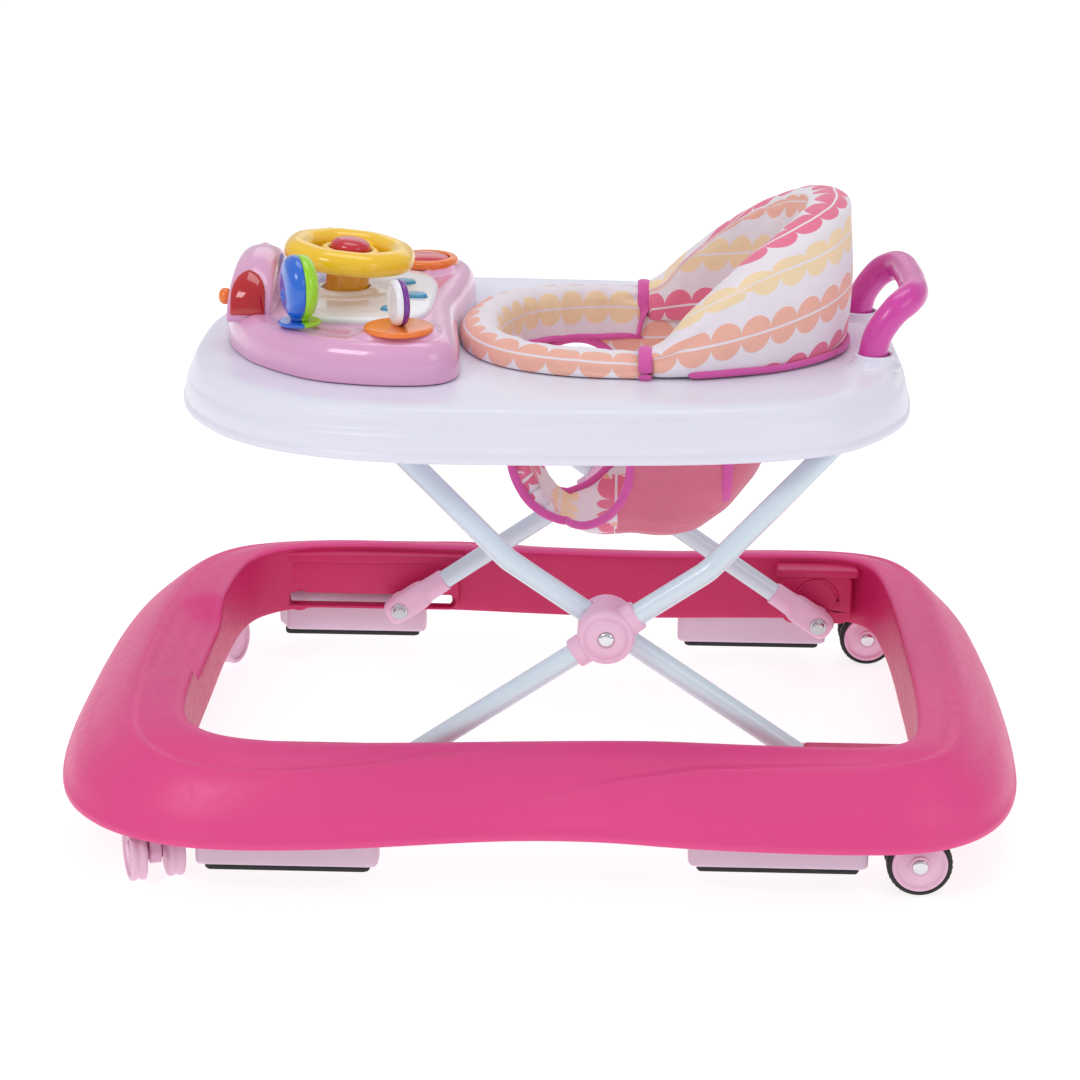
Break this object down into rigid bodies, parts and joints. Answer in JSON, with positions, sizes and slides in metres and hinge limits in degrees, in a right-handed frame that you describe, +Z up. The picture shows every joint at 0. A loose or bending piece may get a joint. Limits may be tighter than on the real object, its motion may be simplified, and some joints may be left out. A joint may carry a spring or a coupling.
{
  "type": "baby walker",
  "caption": "Folding baby walker: wide wheeled base ring, crossed tube legs, tray with padded sling seat, removable toy tray and push handle.",
  "frame": {"origin": "centre of the bounding box's footprint on the floor", "axes": "-X towards the front and the toy tray, +X towards the seat back and push handle, +Y to the left side, +Z up"},
  "size_m": [0.72, 0.5664, 0.46],
  "materials": {
    "base_pink": "moulded, semi-gloss",
    "fitting_pink": "moulded, satin",
    "tray_white": "moulded, semi-gloss",
    "toy_pink": "moulded, gloss",
    "black_rubber": "ribbed",
    "leg_paint": "powder coat, pale blue-grey",
    "bright_metal": "polished",
    "dark_plastic": "matte",
    "printed_fabric": "woven, printed, padded",
    "plain_fabric": "woven, plain",
    "magenta_plastic": "moulded, gloss",
    "yellow_plastic": "moulded, gloss",
    "red_plastic": "moulded, gloss",
    "red_clear": "translucent",
    "orange_plastic": "moulded, gloss",
    "blue_plastic": "moulded, gloss",
    "green_plastic": "moulded, gloss",
    "purple_plastic": "moulded, gloss",
    "white_plastic": "moulded, gloss",
    "board_green": "circuit board"
  },
  "bodies": {
    "base": {"base_screws": "bright_metal", "base_shell": "base_pink", "rear_wheel_bracket_left": "fitting_pink", "rear_wheel_bracket_right": "fitting_pink", "side_stop_blocks": "fitting_pink", "stop_block_front": "fitting_pink", "stop_grip_strips": "black_rubber"},
    "rear_wheel_left": {"rear_wheel_discs_left": "fitting_pink", "rear_tyres_left": "black_rubber", "rear_axle_left": "bright_metal"},
    "caster_left": {"caster_fork_left": "fitting_pink"},
    "caster_wheel_left": {"caster_wheels_left": "fitting_pink", "caster_axle_left": "bright_metal"},
    "rear_wheel_right": {"rear_wheel_discs_right": "fitting_pink", "rear_tyres_right": "black_rubber", "rear_axle_right": "bright_metal"},
    "caster_right": {"caster_fork_right": "fitting_pink"},
    "caster_wheel_right": {"caster_wheels_right": "fitting_pink", "caster_axle_right": "bright_metal"},
    "leg_a": {"leg_tube_a": "leg_paint", "pivot_foot_left": "fitting_pink", "pivot_foot_right": "fitting_pink", "pivot_foot_pins": "bright_metal", "hub_inner_caps": "fitting_pink", "hub_rivets": "bright_metal"},
    "leg_b": {"leg_tube_b": "leg_paint", "slide_foot_left": "fitting_pink", "slide_foot_right": "fitting_pink", "slide_foot_pins": "bright_metal", "hub_outer_cap_left": "fitting_pink", "hub_outer_cap_right": "fitting_pink"},
    "tray": {"tray_shell": "tray_white", "height_racks": "white_plastic", "rear_hinge_clamps": "white_plastic", "push_handle": "magenta_plastic", "seat_ring": "printed_fabric", "seat_back": "printed_fabric", "seat_sling": "plain_fabric"},
    "play_tray": {"play_tray_shell": "toy_pink", "lamp_lenses": "red_clear", "play_tray_panel": "white_plastic", "play_tray_bottom": "white_plastic", "circuit_board": "board_green", "batteries": "dark_plastic", "button_ring": "orange_plastic"},
    "key_1": {"music_key_1": "blue_plastic"},
    "key_2": {"music_key_2": "blue_plastic"},
    "key_3": {"music_key_3": "blue_plastic"},
    "round_button": {"round_button": "red_plastic"},
    "turntable": {"turntable": "orange_plastic", "disc_white": "white_plastic", "disc_purple": "purple_plastic"},
    "spinner_left": {"spinner_blue_left": "blue_plastic", "spinner_green_left": "green_plastic"},
    "spinner_right": {"spinner_blue_right": "blue_plastic", "spinner_green_right": "green_plastic"},
    "steering_wheel": {"steering_wheel": "yellow_plastic"},
    "horn_button": {"horn_button": "red_plastic"},
    "front_knob": {"front_knob": "orange_plastic"}
  },
  "joints": [
    {"name": "rear_wheel_spin_left", "type": "hinge", "parent": "base", "child": "rear_wheel_left", "pos_m": [0.2736, 0.228, 0.0235], "axis": [0, 1, 0], "continuous": true},
    {"name": "rear_wheel_spin_right", "type": "hinge", "parent": "base", "child": "rear_wheel_right", "pos_m": [0.2736, -0.228, 0.0235], "axis": [0, 1, 0], "continuous": true},
    {"name": "caster_swivel_left", "type": "hinge", "parent": "base", "child": "caster_left", "pos_m": [-0.279, 0.216, 0.05], "axis": [0, 0, 1], "continuous": true},
    {"name": "caster_spin_left", "type": "hinge", "parent": "caster_left", "child": "caster_wheel_left", "pos_m": [-0.28652, 0.19533, 0.021], "axis": [0.9397, -0.342, 0], "continuous": true},
    {"name": "caster_swivel_right", "type": "hinge", "parent": "base", "child": "caster_right", "pos_m": [-0.279, -0.216, 0.05], "axis": [0, 0, 1], "continuous": true},
    {"name": "caster_spin_right", "type": "hinge", "parent": "caster_right", "child": "caster_wheel_right", "pos_m": [-0.27148, -0.23667, 0.021], "axis": [0.9397, 0.342, 0], "continuous": true},
    {"name": "fold", "type": "hinge", "parent": "base", "child": "leg_a", "pos_m": [0.227, 0, 0.052], "axis": [0, -1, 0], "range_deg": [-7, 28.5], "deforming": ["seat_sling"]},
    {"name": "cross_pivot", "type": "hinge", "parent": "leg_a", "child": "leg_b", "pos_m": [0.049, 0, 0.1743], "axis": [0, -1, 0], "range_deg": [-57, 14]},
    {"name": "tray_pivot", "type": "hinge", "parent": "leg_b", "child": "tray", "pos_m": [0.21532, 0, 0.312], "axis": [0, -1, 0], "range_deg": [-7, 28.5]},
    {"name": "play_tray_lift", "type": "slide", "parent": "tray", "child": "play_tray", "axis": [0, 0, 1], "range_m": [0, 0.06]},
    {"name": "key_press_1", "type": "slide", "parent": "play_tray", "child": "key_1", "axis": [0, 0, -1], "range_m": [0, 0.002], "stiffness_N_per_m": 300, "springref_m": -0.002},
    {"name": "key_press_2", "type": "slide", "parent": "play_tray", "child": "key_2", "axis": [0, 0, -1], "range_m": [0, 0.002], "stiffness_N_per_m": 300, "springref_m": -0.002},
    {"name": "key_press_3", "type": "slide", "parent": "play_tray", "child": "key_3", "axis": [0, 0, -1], "range_m": [0, 0.002], "stiffness_N_per_m": 300, "springref_m": -0.002},
    {"name": "round_button_press", "type": "slide", "parent": "play_tray", "child": "round_button", "axis": [0, 0, -1], "range_m": [0, 0.003], "stiffness_N_per_m": 400, "springref_m": -0.002},
    {"name": "turntable_spin", "type": "hinge", "parent": "play_tray", "child": "turntable", "pos_m": [-0.103, -0.116, 0.375], "axis": [0, 0, 1], "continuous": true},
    {"name": "spinner_turn_left", "type": "hinge", "parent": "play_tray", "child": "spinner_left", "pos_m": [-0.176, 0.098, 0.373], "axis": [0, 0, 1], "continuous": true},
    {"name": "spinner_turn_right", "type": "hinge", "parent": "play_tray", "child": "spinner_right", "pos_m": [-0.176, -0.098, 0.373], "axis": [0, 0, 1], "continuous": true},
    {"name": "steering_turn", "type": "hinge", "parent": "play_tray", "child": "steering_wheel", "pos_m": [-0.152, 0, 0.374], "axis": [0.1045, 0, 0.9945], "continuous": true},
    {"name": "horn_press", "type": "slide", "parent": "steering_wheel", "child": "horn_button", "axis": [-0.1045, 0, -0.9945], "range_m": [0, 0.002], "stiffness_N_per_m": 400, "springref_m": -0.002},
    {"name": "front_knob_turn", "type": "hinge", "parent": "play_tray", "child": "front_knob", "pos_m": [-0.24, -0.024, 0.3755], "axis": [1, 0, 0], "continuous": true}
  ],
  "couplings": [
    {"joint": "cross_pivot", "follows": "fold", "ratio": -2},
    {"joint": "tray_pivot", "follows": "fold", "ratio": 1}
  ]
}
